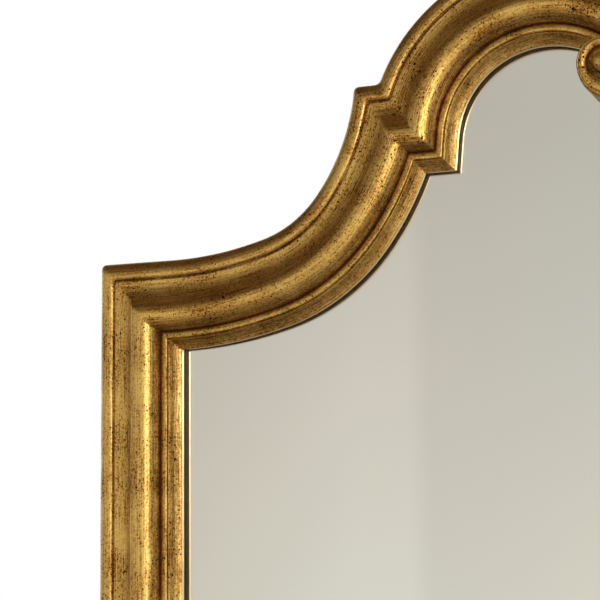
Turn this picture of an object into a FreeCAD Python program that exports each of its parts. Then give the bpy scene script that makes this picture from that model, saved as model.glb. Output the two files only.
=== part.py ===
import FreeCAD
import Part
import math
import os

# Baroque wall mirror: a gilded moulding mitred round an arched glass, with a carved crest.
# Millimetres. X runs to the right seen from the front, +Z is up, and the front faces -Y.
# The origin lies on the wall plane, at the middle of the mirror's width and height.
# A front is a distance from the wall; an offset is a distance inwards from the outer edge.

Vector = FreeCAD.Vector
origin = Vector(0, 0, 0)
axis_x = Vector(1, 0, 0)
axis_y = Vector(0, 1, 0)
axis_z = Vector(0, 0, 1)

# Frame layout, on the outer edge of the moulding
moulding_width = 76.0
stile_length = 1239.0
shoulder_run = 65.8
shoulder_first_radius = 302.6
shoulder_middle_radius = 91.2
shoulder_last_radius = 167.4
shoulder_first_turn = 16.2
shoulder_middle_turn = 36.3
shoulder_last_turn = 32.4
ear_run = 21.7
arch_sight_radius = 72.2
arch_centre_drop = 56.2
arch_leg_lean = 5.5
arch_end_angle = 44.0
arch_axis_distance = 118.3
crest_rise = 285.0

# Glazing, from the wall forwards
board_thickness = 6.0
cushion_thickness = 3.0
glass_thickness = 5.0
glass_edge_clearance = 2.0
board_overlap = 15.0
setting_block_length = 30.0
edge_spacer_length = 20.0
edge_spacer_shares = (0.25, 0.75)

# Moulding section: each step is a line to a point, or an arc by way of a point to a point,
# as shares of the width, inwards, and of the rise above the outer edge, forwards
moulding_rise = 25.0
lip_thickness = 4.0
rebate_width = 10.0
moulding_shares = (
    ((0.090, 0.270), (0.210, 0.400)),
    ((0.222, 0.345),),
    ((0.340, 0.385), (0.463, 0.600)),
    ((0.524, 0.896), (0.626, 1.000)),
    ((0.740, 0.868), (0.795, 0.528)),
    ((0.805, 0.420),),
    ((0.818, 0.465),),
    ((0.880, 0.490),),
    ((0.890, 0.415),),
    ((0.930, 0.235), (0.992, 0.092)),
    ((1.000, 0.060),),
)

# Mitre dowels
dowel_radius = 4.0
dowel_length = 36.0
dowel_depth = 9.0
dowel_glue_gap = 0.1
dowel_end_gap = 1.0
corner_dowel_shares = (0.32, 0.61)
ear_dowel_length = 50.0
arch_dowel_share = 0.40

# Corner plates on the back
plate_leg = 80.0
plate_width = 16.0
plate_thickness = 2.0
plate_inset = 14.0
plate_screw_shares = (0.45, 0.85)

# Screws: rear radius of the head, radius where the head meets the shank, and lengths
screw_gap = 0.05
screw_end_gap = 1.0
board_screw_head_radius = 3.6
board_screw_head_height = 2.2
board_screw_shank_radius = 1.75
board_screw_length = 16.0
board_screw_end_inset = 120.0
board_stile_screws = 5
board_rail_screws = 4
board_crest_screw_distance = 22.0
plate_screw_head_radius = 3.4
plate_screw_head_height = 1.8
plate_screw_shank_radius = 1.6
plate_screw_length = 14.0
hanger_screw_rim_radius = 3.4
hanger_screw_top_radius = 2.4
hanger_screw_head_height = 1.4
hanger_screw_shank_radius = 1.6
hanger_screw_length = 15.0
crest_screw_head_radius = 3.8
crest_screw_head_height = 2.4
crest_screw_shank_radius = 2.0
crest_screw_length = 31.0

# Strap hangers with D-rings
hanger_drop = 260.0
hanger_board_gap = 5.68
strap_width = 16.0
strap_length = 44.0
strap_thickness = 1.2
strap_screw_first = 23.0
strap_screw_pitch = 13.0
ring_wire_radius = 1.4
ring_bow_radius = 12.0
ring_leg = 4.0
ring_clearance = 0.08

# Wall bumpers under the corners
bumper_radius = 6.0
bumper_tip_radius = 5.0
bumper_side_inset = 130.0
bumper_share = 0.34

# Carved crest
carving_glue_gap = 0.2
block_front = 26.0
block_toe_inset = 6.0
block_shoulder_share = 0.70
tongue_width = 80.0
tongue_rise = 50.0
tongue_tip_width = 48.0
tongue_tip_rise = 24.0
scroll_front = 40.0
scroll_glass_gap = 1.2
volute_overhang = 2.5
volute_upper_radius = 19.0
volute_lower_radius = 29.0
volute_return_radius = 16.0
volute_tail_angle = 65.0
volute_crotch_angle = 40.0
tail_drop = 24.0
tail_end_width = 18.0
tail_sag_share = 0.03
eye_radius = 7.5
eye_rise = 3.0
eye_groove_radius = 2.6
boss_radius = 13.0
boss_wall = 6.0
boss_dome = 10.0
shell_rib_step = 16.0
shell_rib_length_shares = (1.0, 0.93, 0.75, 0.37)
shell_rib_root_radius = 3.0
shell_rib_flare = 9.3
shell_axis_sink = 2.2
carving_dowel_radius = 3.0
carving_dowel_length = 16.0
scroll_dowel_share = 0.3
shell_screw_shares = (0.45, 0.64)

# Overrun of cutting shapes, and points on a mitre curve
cut_overrun = 5.0
mitre_steps = 10


def direction(heading):
    """Unit vector of a heading in degrees, from +X towards +Z."""
    turn = math.radians(heading)
    return Vector(math.cos(turn), 0, math.sin(turn))


def leftwards(heading):
    """Unit vector to the left of a heading, seen from the front."""
    return direction(heading + 90)


def mix(start, end, share):
    """Point at a share of the way from one point to another."""
    return start + (end - start) * share


def mirrored(shape):
    """The same piece on the other side of the symmetry plane."""
    return shape.mirror(origin, axis_x)


# Fronts, from the wall
frame_rear = board_thickness
glass_rear = frame_rear + cushion_thickness
lip_rear = glass_rear + glass_thickness
edge_front = lip_rear + lip_thickness
crown_front = edge_front + moulding_rise
dowel_front = frame_rear + dowel_depth

# Places that follow from the layout
arch_outer_radius = arch_sight_radius + moulding_width
overall_height = stile_length + crest_rise
bottom_z = -overall_height / 2
corner_z = bottom_z + stile_length
shoulder_radii = (shoulder_first_radius, shoulder_middle_radius, shoulder_last_radius)
shoulder_turns = (shoulder_first_turn, shoulder_middle_turn, shoulder_last_turn)
ear_corner = Vector(shoulder_run, 0, corner_z)
heading = 0
for radius, turn in zip(shoulder_radii, shoulder_turns):
    ear_corner += (leftwards(heading) - leftwards(heading + turn)) * radius
    heading += turn
ear_level = ear_corner.z
arch_foot_reach = math.sqrt(arch_outer_radius ** 2 - arch_centre_drop ** 2)
half_width = ear_corner.x + ear_run + arch_foot_reach + arch_axis_distance
top_corner = Vector(-half_width, 0, corner_z)
bottom_corner = Vector(-half_width, 0, bottom_z)
ear_start = Vector(ear_corner.x - half_width, 0, ear_level)
arch_centre = Vector(-arch_axis_distance, 0, ear_level - arch_centre_drop)
arch_heading = 90 - arch_leg_lean
cut_reach = overall_height


def shoulder_arcs():
    """Centre, outer radius, and first and last heading of each arc of the left shoulder."""
    start = top_corner + axis_x * shoulder_run
    heading = 0
    arcs = []
    for radius, turn in zip(shoulder_radii, shoulder_turns):
        centre = start + leftwards(heading) * radius
        arcs.append((centre, radius, heading, heading + turn))
        heading += turn
        start = centre - leftwards(heading) * radius
    return arcs


def arch_point(offset, angle):
    """Point of the left arch at an offset from its outer edge, by the angle past its top."""
    return arch_centre + direction(90 - angle) * (arch_outer_radius - offset)


def shoulder_ear_x(offset):
    """Where the shoulder's offset curve meets the ear's offset line."""
    centre, radius, start, end = shoulder_arcs()[-1]
    drop = centre.z - (ear_level - offset)
    return centre.x + math.sqrt((radius + offset) ** 2 - drop ** 2)


def ear_arch_x(offset):
    """Where the ear's offset line meets the arch's offset curve, on its arc or its leg."""
    level = ear_level - offset
    tangent = arch_point(offset, -arch_heading)
    if level < tangent.z:
        return tangent.x - (tangent.z - level) * math.tan(math.radians(arch_leg_lean))
    rise = level - arch_centre.z
    return arch_centre.x - math.sqrt((arch_outer_radius - offset) ** 2 - rise ** 2)


def line(start, end):
    return Part.LineSegment(start, end).toShape()


def arc(start, middle, end):
    return Part.Arc(start, middle, end).toShape()


def polygon(points):
    """Closed chain of straight edges."""
    return [line(start, end) for start, end in zip(points, points[1:] + points[:1])]


def prism(edges, rear, front):
    """Solid between two fronts, from edges drawn on the wall plane."""
    face = Part.Face(Part.Wire(Part.__sortEdges__(edges)))
    face.translate(-axis_y * rear)
    return face.extrude(-axis_y * (front - rear))


def moulding_section(start, heading):
    """Cross-section of the moulding at a point of its outer edge, inwards to the right."""
    inwards = -leftwards(heading)

    def spot(offset, front):
        return start + inwards * offset - axis_y * front

    def share_spot(shares):
        width_share, rise_share = shares
        return spot(width_share * moulding_width, edge_front + rise_share * moulding_rise)

    rear_corner = spot(0, frame_rear)
    here = spot(0, edge_front)
    edges = [line(rear_corner, here)]
    for step in moulding_shares:
        points = [share_spot(shares) for shares in step]
        edges.append(arc(here, *points) if len(points) > 1 else line(here, *points))
        here = points[-1]
    rebate_wall = moulding_width - rebate_width
    behind = ((moulding_width, lip_rear), (rebate_wall, lip_rear), (rebate_wall, frame_rear), (0, frame_rear))
    for offset, front in behind:
        edges.append(line(here, spot(offset, front)))
        here = spot(offset, front)
    return Part.Face(Part.Wire(edges))


def straight_moulding(start, heading, length):
    return moulding_section(start, heading).extrude(direction(heading) * length)


def curved_moulding(start, heading, radius, turn):
    """Moulding on an arc: a positive turn goes left, with the outer edge on the inside."""
    side = math.copysign(1, turn)
    centre = start + leftwards(heading) * side * radius
    return moulding_section(start, heading).revolve(centre, -axis_y * side, abs(turn))


def left_half(point, heading):
    """Block that covers all of the frame to the left of a line."""
    along = direction(heading) * cut_reach
    aside = leftwards(heading) * cut_reach
    corners = [point - along, point + along, point + along + aside, point - along + aside]
    return prism(polygon(corners), -cut_overrun, crown_front + cut_overrun)


def mitre_side(mitre_x, side):
    """Block on one side of an ear's mitre: -1 is to the left of it, 1 to the right."""
    first = -2 * cut_overrun
    span = moulding_width - 2 * first
    offsets = [first + span * step / mitre_steps for step in range(mitre_steps + 1)]
    points = [Vector(mitre_x(offset), 0, ear_level - offset) for offset in offsets]
    curve = Part.BSplineCurve()
    curve.interpolate(points)
    far_x = points[0].x + side * cut_reach
    far_top = Vector(far_x, 0, points[0].z)
    far_bottom = Vector(far_x, 0, points[-1].z)
    edges = [curve.toShape(), line(points[-1], far_bottom)]
    edges += [line(far_bottom, far_top), line(far_top, points[0])]
    return prism(edges, -cut_overrun, crown_front + cut_overrun)


def make_stile():
    stile = straight_moulding(bottom_corner, 90, stile_length)
    upper = left_half(bottom_corner, 45)
    return stile.common(upper).cut(left_half(top_corner, -45))


def make_bottom_rail():
    rail = straight_moulding(Vector(half_width, 0, bottom_z), 180, 2 * half_width)
    left_end = left_half(bottom_corner, 45)
    return rail.cut([left_end, mirrored(left_end)])


def make_shoulder():
    pieces = [straight_moulding(top_corner, 0, shoulder_run)]
    arcs = shoulder_arcs()
    for centre, radius, first, last in arcs:
        start = centre - leftwards(first) * radius
        turn = last - first
        if centre == arcs[-1][0]:
            turn += math.degrees(cut_overrun / radius)
        pieces.append(curved_moulding(start, first, radius, turn))
    shoulder = pieces[0].fuse(pieces[1:])
    return shoulder.common(left_half(top_corner, -45)).cut(mitre_side(shoulder_ear_x, 1))


def make_ear():
    length = ear_arch_x(moulding_width) - ear_start.x + cut_overrun
    ear = straight_moulding(ear_start - axis_x * cut_overrun, 0, length + cut_overrun)
    return ear.cut([mitre_side(shoulder_ear_x, -1), mitre_side(ear_arch_x, 1)])


def make_arch():
    tangent = arch_point(0, -arch_heading)
    foot = ear_level - moulding_width - cut_overrun
    fall = arch_point(moulding_width, -arch_heading).z - foot
    leg_length = fall / math.cos(math.radians(arch_leg_lean))
    leg = straight_moulding(tangent - direction(arch_heading) * leg_length, arch_heading, leg_length)
    bow = curved_moulding(tangent, arch_heading, arch_outer_radius, -(arch_heading + arch_end_angle))
    return leg.fuse(bow).cut(mitre_side(ear_arch_x, -1))


def offset_outline(offset):
    """Closed outline at an offset inside the frame's outer edge, level across under the crest."""
    left = -half_width + offset
    arcs = shoulder_arcs()
    bend_reach = shoulder_first_radius + offset
    bend_turn = math.degrees(math.asin(max(0, offset - shoulder_run) / bend_reach))
    bend_start = arcs[0][0] - leftwards(bend_turn) * bend_reach
    side_top = Vector(left, 0, bend_start.z)
    edges = [line(Vector(left, 0, bottom_z + offset), side_top)]
    if offset < shoulder_run:
        edges.append(line(side_top, bend_start))
    ear_inner = Vector(shoulder_ear_x(offset), 0, ear_level - offset)
    for centre, radius, first, last in arcs:
        reach = radius + offset
        if centre == arcs[0][0]:
            first = bend_turn
        if centre == arcs[-1][0]:
            last = math.degrees(math.acos((centre.z - ear_inner.z) / reach))
        points = [centre - leftwards(turn) * reach for turn in (first, (first + last) / 2, last)]
        edges.append(arc(*points))
    arch_foot = Vector(ear_arch_x(offset), 0, ear_level - offset)
    edges.append(line(ear_inner, arch_foot))
    tangent = arch_point(offset, -arch_heading)
    first = -arch_heading
    if arch_foot.z < tangent.z:
        edges.append(line(arch_foot, tangent))
    else:
        first = -math.degrees(math.acos((arch_foot.z - arch_centre.z) / (arch_outer_radius - offset)))
    angles = (first, (first + arch_end_angle) / 2, arch_end_angle)
    edges.append(arc(*[arch_point(offset, angle) for angle in angles]))
    edges += [mirrored(edge) for edge in edges]
    top = arch_point(offset, arch_end_angle)
    edges.append(line(top, Vector(-top.x, 0, top.z)))
    edges.append(line(Vector(left, 0, bottom_z + offset), Vector(-left, 0, bottom_z + offset)))
    return edges


def screw(seat, rear_radius, neck_radius, head_height, shank_radius, length, gap=0, end_gap=0):
    """Screw driven forwards from its seat, the rear face of its head; a gap makes its hole."""
    forwards = -axis_y
    neck = seat + forwards * head_height
    tip_length = 2 * shank_radius
    shank_length = length - head_height - tip_length + end_gap
    head = Part.makeCone(rear_radius + gap, neck_radius + gap, head_height, seat, forwards)
    shank = Part.makeCylinder(shank_radius + gap, shank_length, neck, forwards)
    tip = Part.makeCone(shank_radius + gap, 0, tip_length, neck + forwards * shank_length, forwards)
    return head.fuse([shank, tip])


def fasten(seats, sizes):
    """Screws at their seats, and the holes that take them."""
    screws = [screw(seat, *sizes) for seat in seats]
    holes = [screw(seat, *sizes, screw_gap, screw_end_gap) for seat in seats]
    return screws, holes


def dowel(centre, along, radius, length):
    return Part.makeCylinder(radius, length, centre - along * (length / 2), along)


def pin(joints, radius, length):
    """Dowels across joints, given as a middle and a direction, and the bores that take them."""
    pins = [dowel(centre, along, radius, length) for centre, along in joints]
    bore_length = length + 2 * dowel_end_gap
    bores = [dowel(centre, along, radius + dowel_glue_gap, bore_length) for centre, along in joints]
    return pins, bores


def both_sides(shapes):
    return shapes + [mirrored(shape) for shape in shapes]


pieces = {}


# Frame mouldings, left side and bottom
pieces["left_stile"] = make_stile()
pieces["bottom_rail"] = make_bottom_rail()
pieces["left_shoulder"] = make_shoulder()
pieces["left_ear"] = make_ear()
pieces["left_arch"] = make_arch()


# Crest block: a keystone between the cut ends of the arches, with a tongue above them
rebate_offset = moulding_width - rebate_width
sight_end = arch_point(moulding_width, arch_end_angle)
outer_end = arch_point(0, arch_end_angle)
eye = arch_point(moulding_width + volute_overhang, arch_end_angle)
lower_centre = eye + axis_x * (volute_lower_radius - volute_upper_radius)
tail_start = lower_centre + direction(180 + volute_tail_angle) * volute_lower_radius
tail_toe = Vector(0, 0, tail_start.z - tail_drop)
tail_top = tail_toe + axis_z * tail_end_width
volute_top = eye + axis_z * volute_upper_radius
return_centre = volute_top - axis_z * volute_return_radius
crotch = return_centre + direction(-volute_crotch_angle) * volute_return_radius
block_shoulder = Vector(tail_start.x * block_shoulder_share, 0, tail_start.z + block_toe_inset)
block_toe = tail_toe + axis_z * block_toe_inset
tongue_side = Vector(-tongue_width / 2, 0, outer_end.z + tongue_rise)
tongue_tip = Vector(-tongue_tip_width / 2, 0, tongue_side.z + tongue_tip_rise)


def make_crest_block():
    left_side = [block_toe, block_shoulder, sight_end, outer_end, tongue_side, tongue_tip]
    right_side = [Vector(-point.x, 0, point.z) for point in reversed(left_side[1:])]
    block = prism(polygon(left_side + right_side), frame_rear, block_front)
    rebate_top = arch_point(rebate_offset, arch_end_angle).z
    rebate_size = (2 * half_width, lip_rear, rebate_top - bottom_z)
    rebate = Part.makeBox(*rebate_size, Vector(-half_width, -lip_rear, bottom_z))
    return block.cut(rebate)


pieces["crest_block"] = make_crest_block()


# Scrolls: a volute with a raised eye on the end of the sight edge, and a tail down to the middle
def make_scroll():
    left = eye - axis_x * volute_upper_radius
    chord = tail_toe - tail_start
    sag = Vector(chord.z, 0, -chord.x) * tail_sag_share
    edges = [
        arc(tail_toe, (tail_start + tail_toe) / 2 + sag, tail_start),
        arc(tail_start, lower_centre + direction(180 + volute_tail_angle / 2) * volute_lower_radius, left),
        arc(left, eye + direction(135) * volute_upper_radius, volute_top),
        arc(volute_top, return_centre + direction(45) * volute_return_radius, crotch),
        line(crotch, tail_top),
        line(tail_top, tail_toe),
    ]
    scroll = prism(edges, lip_rear + scroll_glass_gap, scroll_front)
    face_spot = eye - axis_y * scroll_front
    groove_ring = eye_radius + eye_groove_radius
    scroll = scroll.cut(Part.makeTorus(groove_ring, eye_groove_radius, face_spot, axis_y))
    dome_radius = (eye_radius ** 2 + eye_rise ** 2) / (2 * eye_rise)
    dome = Part.makeSphere(dome_radius, face_spot + axis_y * (dome_radius - eye_rise))
    dome_size = (2 * dome_radius, eye_rise, 2 * dome_radius)
    dome_corner = face_spot - Vector(dome_radius, eye_rise, dome_radius)
    scroll = scroll.fuse(dome.common(Part.makeBox(*dome_size, dome_corner)))
    under = [pieces["left_arch"], pieces["crest_block"]]
    return scroll.cut([piece.translated(-axis_y * carving_glue_gap) for piece in under])


pieces["crest_left_scroll"] = make_scroll()


# Boss: a turned button on the block, in the notch over the meeting tails
tail_slope = math.atan2(crotch.z - tail_top.z, -crotch.x)
root = tail_top + axis_z * ((boss_radius + carving_glue_gap) / math.cos(tail_slope))
carving_rear = block_front + carving_glue_gap
shell_axis_front = carving_rear - shell_axis_sink


def make_boss():
    def spot(radius, front):
        return root + axis_x * radius - axis_y * front

    wall_front = carving_rear + boss_wall
    dome_front = wall_front + boss_dome
    dome_radius = (boss_radius ** 2 + boss_dome ** 2) / (2 * boss_dome)
    half_turn = math.degrees(math.asin(boss_radius / dome_radius)) / 2
    dome_centre = spot(0, dome_front - dome_radius)
    half_way = math.radians(half_turn)
    bulge = dome_centre + (axis_x * math.sin(half_way) - axis_y * math.cos(half_way)) * dome_radius
    edges = [
        line(spot(0, carving_rear), spot(boss_radius, carving_rear)),
        line(spot(boss_radius, carving_rear), spot(boss_radius, wall_front)),
        arc(spot(boss_radius, wall_front), bulge, spot(0, dome_front)),
        line(spot(0, dome_front), spot(0, carving_rear)),
    ]
    return Part.Face(Part.Wire(edges)).revolve(root, axis_y, 360)


pieces["crest_boss"] = make_boss()


# Shell: ribs that flare from the boss, rounded at their tips, hollowed to sit on the frame
shell_length = corner_z + crest_rise - root.z
flare = math.tan(math.radians(shell_rib_flare))


def rib_axis(angle):
    return root - axis_y * shell_axis_front, direction(90 - angle)


def make_rib(angle, length):
    """Cone from the root, with a ball at its tip that reaches the rib's length."""
    start, along = rib_axis(angle)
    run = (length - shell_rib_root_radius) / (1 + flare)
    tip_radius = shell_rib_root_radius + run * flare
    cone = Part.makeCone(shell_rib_root_radius, tip_radius, run, start, along)
    return cone.fuse(Part.makeSphere(tip_radius, start + along * run))


def make_shell():
    ribs = []
    for step, share in enumerate(shell_rib_length_shares):
        ribs.append(make_rib(step * shell_rib_step, share * shell_length))
        if step:
            ribs.append(make_rib(-step * shell_rib_step, share * shell_length))
    shell = ribs[0].fuse(ribs[1:])
    behind_size = (4 * shell_length, 2 * carving_rear, 4 * shell_length)
    behind = Part.makeBox(*behind_size, root - Vector(2 * shell_length, carving_rear, 2 * shell_length))
    seat_radius = boss_radius + carving_glue_gap
    boss_seat = Part.makeCylinder(seat_radius, cut_reach, root, -axis_y)
    under = both_sides([pieces["left_arch"]])
    lifted = [piece.translated(-axis_y * carving_glue_gap) for piece in under]
    return shell.cut([behind, boss_seat] + lifted + both_sides([pieces["crest_left_scroll"]]))


pieces["crest_shell"] = make_shell()


# Carving dowels and screws
scroll_low = mix(block_shoulder, block_toe, scroll_dowel_share)
scroll_high = mix(crotch, tail_top, scroll_dowel_share)
scroll_pin_spot = (scroll_low + scroll_high) / 2 - axis_y * carving_rear
boss_pin_spot = root - axis_y * carving_rear
carving_joints = [(scroll_pin_spot, axis_y), (boss_pin_spot, axis_y)]
carving_pins, carving_bores = pin(carving_joints, carving_dowel_radius, carving_dowel_length)
pieces["crest_left_scroll"] = pieces["crest_left_scroll"].cut(carving_bores[0])
pieces["crest_boss"] = pieces["crest_boss"].cut(carving_bores[1])
crest_screw_sizes = (
    crest_screw_head_radius,
    crest_screw_shank_radius,
    crest_screw_head_height,
    crest_screw_shank_radius,
    crest_screw_length,
)
shell_seats = [root + axis_z * (share * shell_length) - axis_y * frame_rear for share in shell_screw_shares]
crest_screws, crest_holes = fasten(shell_seats, crest_screw_sizes)
pieces["crest_shell"] = pieces["crest_shell"].cut(crest_holes)
pieces["crest_block"] = pieces["crest_block"].cut(crest_holes + both_sides(carving_bores[:1]) + carving_bores[1:])
pieces["crest_screws"] = Part.makeCompound(crest_screws)
pieces["crest_dowels"] = Part.makeCompound(both_sides(carving_pins[:1]) + carving_pins[1:])


# Mitre dowels: two in each square corner, one through each ear, one into the crest block
def corner_joints(corner, heading, across):
    along = direction(heading) * math.sqrt(2) * moulding_width
    return [(corner + along * share - axis_y * dowel_front, across) for share in corner_dowel_shares]


bottom_joints = corner_joints(bottom_corner, 45, direction(-45))
top_joints = corner_joints(top_corner, -45, direction(45))
ear_middle = (shoulder_ear_x(moulding_width / 2) + ear_arch_x(moulding_width / 2)) / 2
ear_joint = (Vector(ear_middle, -dowel_front, ear_level - moulding_width / 2), axis_x)
arch_joint_spot = arch_point(arch_dowel_share * moulding_width, arch_end_angle) - axis_y * dowel_front
arch_joint = (arch_joint_spot, direction(-arch_end_angle))
bottom_pins, bottom_bores = pin(bottom_joints, dowel_radius, dowel_length)
top_pins, top_bores = pin(top_joints, dowel_radius, dowel_length)
ear_pins, ear_bores = pin([ear_joint], dowel_radius, ear_dowel_length)
arch_pins, arch_bores = pin([arch_joint], dowel_radius, dowel_length)
pieces["left_stile"] = pieces["left_stile"].cut(bottom_bores + top_bores)
pieces["bottom_rail"] = pieces["bottom_rail"].cut(both_sides(bottom_bores))
pieces["left_shoulder"] = pieces["left_shoulder"].cut(top_bores + ear_bores)
pieces["left_ear"] = pieces["left_ear"].cut(ear_bores)
pieces["left_arch"] = pieces["left_arch"].cut(ear_bores + arch_bores)
pieces["crest_block"] = pieces["crest_block"].cut(both_sides(arch_bores))
pieces["mitre_dowels"] = Part.makeCompound(both_sides(bottom_pins + top_pins + ear_pins + arch_pins))


# Corner plates: flat steel angles across the square mitres, screwed on from behind
plate_rear = frame_rear - plate_thickness
plate_screw_sizes = (
    plate_screw_head_radius,
    plate_screw_shank_radius,
    plate_screw_head_height,
    plate_screw_shank_radius,
    plate_screw_length,
)


def make_plate(corner, upwards):
    """Plate in a left corner, with one leg inwards and the other up or down the stile."""
    heel = corner + (axis_x + upwards) * plate_inset
    points = [
        heel,
        heel + axis_x * plate_leg,
        heel + axis_x * plate_leg + upwards * plate_width,
        heel + (axis_x + upwards) * plate_width,
        heel + axis_x * plate_width + upwards * plate_leg,
        heel + upwards * plate_leg,
    ]
    seats = []
    for along, aside in ((axis_x, upwards), (upwards, axis_x)):
        for share in plate_screw_shares:
            seats.append(heel + along * plate_leg * share + aside * (plate_width / 2) - axis_y * plate_rear)
    screws, holes = fasten(seats, plate_screw_sizes)
    plate = prism(polygon(points), plate_rear, frame_rear).cut(holes)
    return plate, screws, holes


bottom_plate, bottom_plate_screws, bottom_plate_holes = make_plate(bottom_corner, axis_z)
top_plate, top_plate_screws, top_plate_holes = make_plate(top_corner, -axis_z)
pieces["left_stile"] = pieces["left_stile"].cut(bottom_plate_holes + top_plate_holes)
pieces["bottom_rail"] = pieces["bottom_rail"].cut(both_sides(bottom_plate_holes))
pieces["left_shoulder"] = pieces["left_shoulder"].cut(top_plate_holes)
pieces["corner_plates"] = Part.makeCompound(both_sides([bottom_plate, top_plate]))
pieces["corner_plate_screws"] = Part.makeCompound(both_sides(bottom_plate_screws + top_plate_screws))


# Glass in the rebate, on setting blocks, kept off the sides by spacers, with a cushion behind it
glass_offset = rebate_offset + glass_edge_clearance
glass_edge_x = half_width - glass_offset
rebate_wall_z = bottom_z + rebate_offset
pieces["mirror_glass"] = prism(offset_outline(glass_offset), glass_rear, lip_rear)
pieces["cushion_sheet"] = prism(offset_outline(glass_offset), frame_rear, glass_rear)
setting_size = (setting_block_length, glass_thickness, glass_edge_clearance)
setting_spot = Vector(-glass_edge_x / 2 - setting_block_length / 2, -lip_rear, rebate_wall_z)
setting_block = Part.makeBox(*setting_size, setting_spot)
spacer_size = (glass_edge_clearance, glass_thickness, edge_spacer_length)
spacers = []
for share in edge_spacer_shares:
    spacer_z = bottom_z + stile_length * share - edge_spacer_length / 2
    spacers.append(Part.makeBox(*spacer_size, Vector(rebate_offset - half_width, -lip_rear, spacer_z)))
pieces["glass_setting_blocks"] = Part.makeCompound(both_sides([setting_block]))
pieces["glass_edge_spacers"] = Part.makeCompound(both_sides(spacers))


# Back board over the rebate, screwed into the frame all round
board_offset = rebate_offset - board_overlap
board_screw_offset = rebate_offset - board_overlap / 2
board_screw_sizes = (
    board_screw_head_radius,
    board_screw_shank_radius,
    board_screw_head_height,
    board_screw_shank_radius,
    board_screw_length,
)
stile_span = stile_length - 2 * board_screw_end_inset
stile_screw_zs = [
    bottom_z + board_screw_end_inset + stile_span * step / (board_stile_screws - 1)
    for step in range(board_stile_screws)
]
stile_seats = [Vector(board_screw_offset - half_width, 0, z) for z in stile_screw_zs]
rail_span = 2 * (half_width - board_screw_end_inset)
rail_seats = [
    Vector(rail_span * step / (board_rail_screws - 1) - rail_span / 2, 0, bottom_z + board_screw_offset)
    for step in range(board_rail_screws)
]
shoulder_seats = []
for centre, radius, first, last in shoulder_arcs()[:2]:
    shoulder_seats.append(centre - leftwards((first + last) / 2) * (radius + board_screw_offset))
arch_seats = [arch_point(board_screw_offset, 0)]
crest_seats = [Vector(-board_crest_screw_distance, 0, arch_point(board_screw_offset, arch_end_angle).z)]
stile_screws, stile_holes = fasten(stile_seats, board_screw_sizes)
rail_screws, rail_holes = fasten(rail_seats, board_screw_sizes)
shoulder_screws, shoulder_holes = fasten(shoulder_seats, board_screw_sizes)
arch_screws, arch_holes = fasten(arch_seats, board_screw_sizes)
block_screws, block_holes = fasten(crest_seats, board_screw_sizes)
side_screws = stile_screws + shoulder_screws + arch_screws + block_screws
side_holes = stile_holes + shoulder_holes + arch_holes + block_holes
pieces["left_stile"] = pieces["left_stile"].cut(stile_holes)
pieces["bottom_rail"] = pieces["bottom_rail"].cut(rail_holes)
pieces["left_shoulder"] = pieces["left_shoulder"].cut(shoulder_holes)
pieces["left_arch"] = pieces["left_arch"].cut(arch_holes)
pieces["crest_block"] = pieces["crest_block"].cut(both_sides(block_holes))
board = prism(offset_outline(board_offset), 0, board_thickness)
pieces["back_board"] = board.cut(both_sides(side_holes) + rail_holes)
pieces["back_board_screws"] = Part.makeCompound(both_sides(side_screws) + rail_screws)


# Strap hangers: a plate on the stile, rolled at the top round the bar of a D-ring
loop_radius = ring_wire_radius + ring_clearance
loop_outer_radius = loop_radius + strap_thickness
loop_front = frame_rear - loop_outer_radius
hanger_offset = board_offset - hanger_board_gap - ring_bow_radius - ring_wire_radius
pivot = Vector(hanger_offset - half_width, -loop_front, corner_z - hanger_drop)
strap_rear = frame_rear - strap_thickness
hanger_screw_sizes = (
    hanger_screw_top_radius,
    hanger_screw_rim_radius,
    hanger_screw_head_height,
    hanger_screw_shank_radius,
    hanger_screw_length,
)


def make_strap(holes):
    half = axis_x * (strap_width / 2)
    plate_spot = Vector(pivot.x - strap_width / 2, -frame_rear, pivot.z - strap_length)
    plate = Part.makeBox(strap_width, strap_thickness, strap_length, plate_spot)
    loop = Part.makeCylinder(loop_outer_radius, strap_width, pivot - half, axis_x)
    bar_way = Part.makeCylinder(loop_radius, strap_width, pivot - half, axis_x)
    return plate.fuse(loop).cut([bar_way] + holes)


def make_ring():
    """D-ring hanging from its bar: two legs and a half-round bow of one wire."""
    corners = [pivot + axis_x * side * ring_bow_radius for side in (-1, 1)]
    wire = [Part.makeCylinder(ring_wire_radius, 2 * ring_bow_radius, corners[0], axis_x)]
    for corner in corners:
        wire.append(Part.makeSphere(ring_wire_radius, corner))
        wire.append(Part.makeCylinder(ring_wire_radius, ring_leg, corner, -axis_z))
    bow_section = Part.Wire(Part.makeCircle(ring_wire_radius, corners[0] - axis_z * ring_leg, axis_z))
    wire.append(Part.Face(bow_section).revolve(pivot - axis_z * ring_leg, -axis_y, 180))
    return wire[0].fuse(wire[1:])


strap_seats = []
for step in range(2):
    drop = strap_screw_first + step * strap_screw_pitch
    strap_seats.append(Vector(pivot.x, hanger_screw_head_height - strap_rear, pivot.z - drop))
strap_screws, strap_holes = fasten(strap_seats, hanger_screw_sizes)
pieces["left_stile"] = pieces["left_stile"].cut(strap_holes)
pieces["left_hanger_strap"] = make_strap(strap_holes)
pieces["left_hanger_ring"] = make_ring()
pieces["hanger_screws"] = Part.makeCompound(both_sides(strap_screws))


# Wall bumpers: rubber feet that stand as far off the frame as the back board
bumper_spot = Vector(bumper_side_inset - half_width, -frame_rear, bottom_z + bumper_share * moulding_width)
bumper = Part.makeCone(bumper_radius, bumper_tip_radius, board_thickness, bumper_spot, axis_y)
pieces["wall_bumpers"] = Part.makeCompound(both_sides([bumper]))


# Right-hand pieces
for name in [name for name in pieces if "left" in name]:
    pieces[name.replace("left", "right")] = mirrored(pieces[name])

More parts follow.
